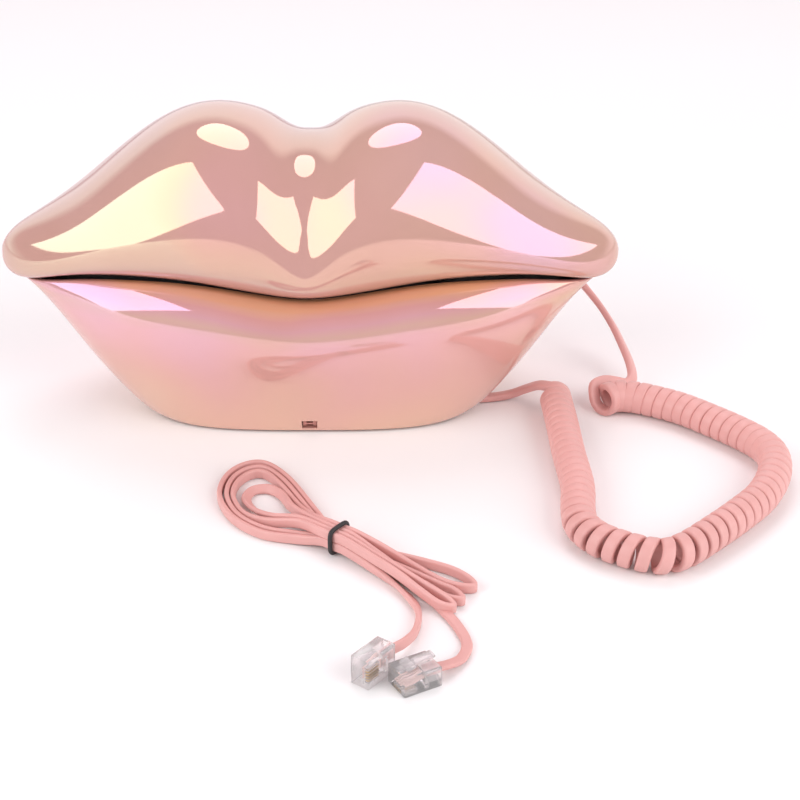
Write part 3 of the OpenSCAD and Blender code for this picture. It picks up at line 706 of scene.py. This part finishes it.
# ---- modular plugs ---------------------------------------------------------------------------

def joined(name, objects, look):
    """One object from several, with the look on all of it."""
    work = bmesh.new()
    for obj in objects:
        work.from_mesh(obj.data)
        bpy.data.objects.remove(obj)
    mesh = bpy.data.meshes.new(name)
    work.to_mesh(mesh)
    work.free()
    mesh.materials.append(look)
    made = bpy.data.objects.new(name, mesh)
    scene.collection.objects.link(made)
    sharp_edges(made)
    return made


def bevelled(obj, radius):
    """obj with its edges rounded by a radius in millimetres."""
    change = obj.modifiers.new("bevel", "BEVEL")
    change.width = radius * MM
    change.segments = 2
    apply_modifiers(obj)
    return obj


def bevelled_box(low, high, radius=0.3):
    """A box from its lowest to its highest corner in millimetres, with rounded edges."""
    low, high = np.array(low, float), np.array(high, float)
    ends = (0, 1)
    points = [(low + (high - low) * (i, j, k)) * MM for i in ends for j in ends for k in ends]
    return bevelled(mesh_object("box", points, BOX_QUADS, smooth=False), radius)


def plate(outline, x_low, x_high):
    """A shape drawn in the Y-Z plane and made thick along X, in millimetres."""
    n = len(outline)
    points = [(x * MM, y * MM, z * MM) for x in (x_low, x_high) for y, z in outline]
    faces = [list(range(n)), [n + k for k in reversed(range(n))]]
    faces += [[k, n + k, n + (k + 1) % n, (k + 1) % n] for k in range(n)]
    return bevelled(mesh_object("plate", points, faces, smooth=False), 0.15)


WAY_PITCH = 1.02


def modular_plug(name, w, h, long, ways, place, body):
    """Clear plug lying along +Y with its nose at the origin, moved to place."""
    block = bevelled_box((-w / 2, 0, 0), (w / 2, long, h))
    places = [(k - (ways - 1) / 2) * WAY_PITCH for k in range(ways)]
    cuts = [((x, 2.2, 0.4), (0.5, 5.6, 2.4)) for x in places]
    cuts += [((0, long - 2.4, h / 2), (min(w - 2, 5.6), 5, 2.9)), ((0, 8.3, 0.2), (4.6, 1.6, 1.6))]
    cut(block, cuts, 30)
    lever = plate([(0.5, h - 0.1), (1.8, h - 0.1), (4.5, h + 0.9), (long - 0.4, h + 1.6),
                   (long - 0.4, h + 2.3), (long * 0.5, h + 1.7), (1.2, h + 0.5)], -1.6, 1.6)
    shoulder = plate([(2.4, h + 0.35), (5.2, h + 1.3), (5.2, h + 1.8), (3.2, h + 1.25)], -2.9, 2.9)
    plug = joined(name, [block, lever, shoulder], clear_plastic)
    plug.data.transform(place)
    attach(plug, body)
    return plug


def inner_wires(name, h, long, place, body):
    """The four conductors between the end of the cord and the contacts."""
    parts = []
    for k in range(4):
        x = (k - 1.5) * WAY_PITCH
        way = through([(x * 0.7, long - 4.2, h / 2), (x * 0.8, long - 6, h / 2 - 0.1),
                       (x, 4.2, h / 2 - 0.6), (x, 1.2, h / 2 - 0.7)], 0.25)
        width_way = carried(way, (1, 0, 0), (1, 0, 0))
        parts.append(strip("wire", way, width_way, 0.72, 0.72, 0.34, wire_pink))
    wires = joined(name, parts, wire_pink)
    wires.data.transform(place)
    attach(wires, body)
    return wires


def placed(x, y, z, turn, on_side=False):
    """A plug's place from millimetres and degrees about Z; on_side lays it on its left side."""
    place = Matrix.Translation((x * MM, y * MM, z * MM)) @ Matrix.Rotation(math.radians(turn), 4, "Z")
    return place @ Matrix.Rotation(math.radians(-90), 4, "Y") if on_side else place


LINE_PLUG_W, LINE_PLUG_H, LINE_PLUG_LONG, LINE_PLUG_WAYS = 9.65, 6.6, 12.5, 6
HANDSET_PLUG_W, HANDSET_PLUG_H, HANDSET_PLUG_LONG, HANDSET_PLUG_WAYS = 7.65, 6, 11.6, 4

plug_a_place = placed(23, -187.4, 4.825, -38, on_side=True)
plug_b_place = placed(30.9, -186.9, 0, -60)
line_plugs = []
for letter, place in (("a", plug_a_place), ("b", plug_b_place)):
    plug = modular_plug(f"clear_plug_{letter}", LINE_PLUG_W, LINE_PLUG_H, LINE_PLUG_LONG,
                        LINE_PLUG_WAYS, place, "base")
    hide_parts(f"line_plug_{letter}")
    wires = inner_wires(f"plug_wires_{letter}", LINE_PLUG_H, LINE_PLUG_LONG, place, "base")
    line_plugs += [plug, wires]

handset_plug_place = placed(68, 13.4, 62, 0)
handset_plug = modular_plug("clear_plug_handset", HANDSET_PLUG_W, HANDSET_PLUG_H,
                            HANDSET_PLUG_LONG, HANDSET_PLUG_WAYS, handset_plug_place, "handset")
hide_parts("handset_cord_plug")
inner_wires("plug_wires_handset", HANDSET_PLUG_H, HANDSET_PLUG_LONG, handset_plug_place, "handset")

# ---- plain looks of the CAD nodes ------------------------------------------------------------

# base_deck and handset_underplate take the black as painted shade, which darkens the gap between the lips
# where the shadow falls.
looks = {
    "base_bottom_plate": under_pink, "base_deck": black_and_painted_gap_shade, "rubber_feet": rubber,
    "base_screws": steel, "hook_plunger": white, "hook_spring": steel, "hook_switch": black_and_painted_gap_shade,
    "base_pcb": board, "ringer": black_and_painted_gap_shade, "line_jack": black_and_painted_gap_shade, "base_cord_jack": black_and_painted_gap_shade,
    "ringer_switch_knob": black_and_painted_gap_shade, "tone_switch_knob": black_and_painted_gap_shade, "slide_switches": steel,
    "handset_underplate": black_and_painted_gap_shade, "keypad_membrane": rubber, "keypad_pcb": board,
    "receiver_frame": steel, "receiver_cone": paper, "receiver_gasket": rubber,
    "microphone_capsule": steel, "microphone_boot": rubber, "handset_screws": steel,
    "pcb_screws": steel, "handset_cord_jack": black_and_painted_gap_shade, "base_cord_plug": clear_plastic,
    "line_plug_a": clear_plastic, "line_plug_b": clear_plastic, "line_plug_contacts": gold,
    "line_cord_hank": cord_pink, "line_cord_tail_a": cord_pink, "line_cord_tail_b": cord_pink,
    "line_cord_tie": elastic,
}
for name, obj in nodes.items():
    obj.data.materials.clear()
    obj.data.materials.append(looks.get(name, white))

# ---- marks on the keys -----------------------------------------------------------------------

LEGENDS = {**{str(n): str(n) for n in range(10)}, "star": "*", "hash": "#", "flash": "o",
           "redial": "=", "mute": "x"}


def legend(key, mark):
    """A thin raised mark on the underside of a key, read with the receiver at the top."""
    low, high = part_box(f"key_{key}")
    text = bpy.data.curves.new("mark", "FONT")
    text.body = mark
    text.size = 0.0054
    text.align_x = text.align_y = "CENTER"
    text.extrude = 0.0001
    text.resolution_u = 6
    carrier = bpy.data.objects.new("mark", text)
    scene.collection.objects.link(carrier)
    bpy.context.view_layer.update()
    mesh = bpy.data.meshes.new_from_object(carrier)
    bpy.data.objects.remove(carrier)
    width = [v.co.x for v in mesh.vertices]
    height = [v.co.y for v in mesh.vertices]
    middle = Vector(((min(width) + max(width)) / 2, (min(height) + max(height)) / 2, 0))
    face = Matrix(((0, -1, 0), (-1, 0, 0), (0, 0, -1))).to_4x4()
    place = Matrix.Translation(((low[0] + high[0]) / 2, (low[1] + high[1]) / 2, low[2]))
    mesh.transform(place @ face @ Matrix.Translation(-middle))
    shape = bmesh.new()
    shape.from_mesh(mesh)
    bmesh.ops.remove_doubles(shape, verts=shape.verts, dist=0.000001)
    shape.to_mesh(mesh)
    shape.free()
    mesh.materials.clear()
    mesh.materials.append(ink)
    made = bpy.data.objects.new(f"key_mark_{key}", mesh)
    scene.collection.objects.link(made)
    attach(made, f"key_{key}_body")


for key, mark in LEGENDS.items():
    legend(key, mark)

# ---- floor and light -------------------------------------------------------------------------

def floor(half=3, n=24):
    """A pale square floor, in n by n faces."""
    made = material("floor_white", (0.93, 0.93, 0.93), 0.6)
    greys = [(0.3, (0.925, 0.925, 0.925)), (0.7, (0.935, 0.935, 0.935))]
    drive(made, "Base Color", tinted(made, noise(made, 6, 2.0), greys))
    places = [-half + 2 * half * i / n for i in range(n + 1)]
    points = [(x, y, 0) for x in places for y in places]
    faces = []
    for i in range(n):
        for j in range(n):
            k = i * (n + 1) + j
            faces.append([k, k + n + 1, k + n + 2, k + 1])
    mesh_object("floor", points, faces, smooth=False, material=made)


floor()


def area_light(name, azimuth, elevation, distance, shape, size, radiance, colour=(1, 1, 1)):
    """A soft light seen from the telephone at azimuth (0 is the front) and elevation."""
    light = bpy.data.lights.new(name, "AREA")
    light.shape = shape
    light.size, light.size_y = size
    area = size[0] * size[1] * (math.pi / 4 if shape == "DISK" else 1)
    light.energy = radiance * math.pi * area
    light.color = colour
    obj = bpy.data.objects.new(name, light)
    scene.collection.objects.link(obj)
    a, e = math.radians(azimuth), math.radians(elevation)
    away = Vector((math.sin(a) * math.cos(e), -math.cos(a) * math.cos(e), math.sin(e)))
    obj.location = Vector((0, 0, 0.07)) + away * distance
    obj.rotation_euler = (-away).to_track_quat("-Z", "Z").to_euler()


for side, azimuth in (("left", -58), ("right", 58)):
    area_light(f"softbox_{side}", azimuth, 27, 1.25, "RECTANGLE", (1.15, 1.1), 2.75)
area_light("octabox", 180, 61, 1.3, "DISK", (0.85, 0.85), 3.0, (1.0, 0.86, 0.92))


def studio():
    """Dim room in front and overhead, bright white backdrop behind up to 34 degrees."""
    world = bpy.data.worlds.new("studio")
    scene.world = world
    world.use_nodes = True
    edge = math.radians(34)
    place = node(world, "ShaderNodeTexCoord")
    split = node(world, "ShaderNodeSeparateXYZ")
    link(world, place.outputs["Generated"], split.inputs["Vector"])
    back = math_node(world, "MULTIPLY", split.outputs["Y"], math.sin(edge))
    up = math_node(world, "MULTIPLY", split.outputs["Z"], math.cos(edge))
    sweep = mapped(world, math_node(world, "SUBTRACT", back, up), 0, 1, -0.105, 0.105)
    shade = tinted(world, sweep, [(0.0, (0.36, 0.33, 0.34)), (1.0, (1.0, 1.0, 1.0))])
    link(world, shade, world.node_tree.nodes["Background"].inputs["Color"])
    world.node_tree.nodes["Background"].inputs["Strength"].default_value = 1.15


studio()
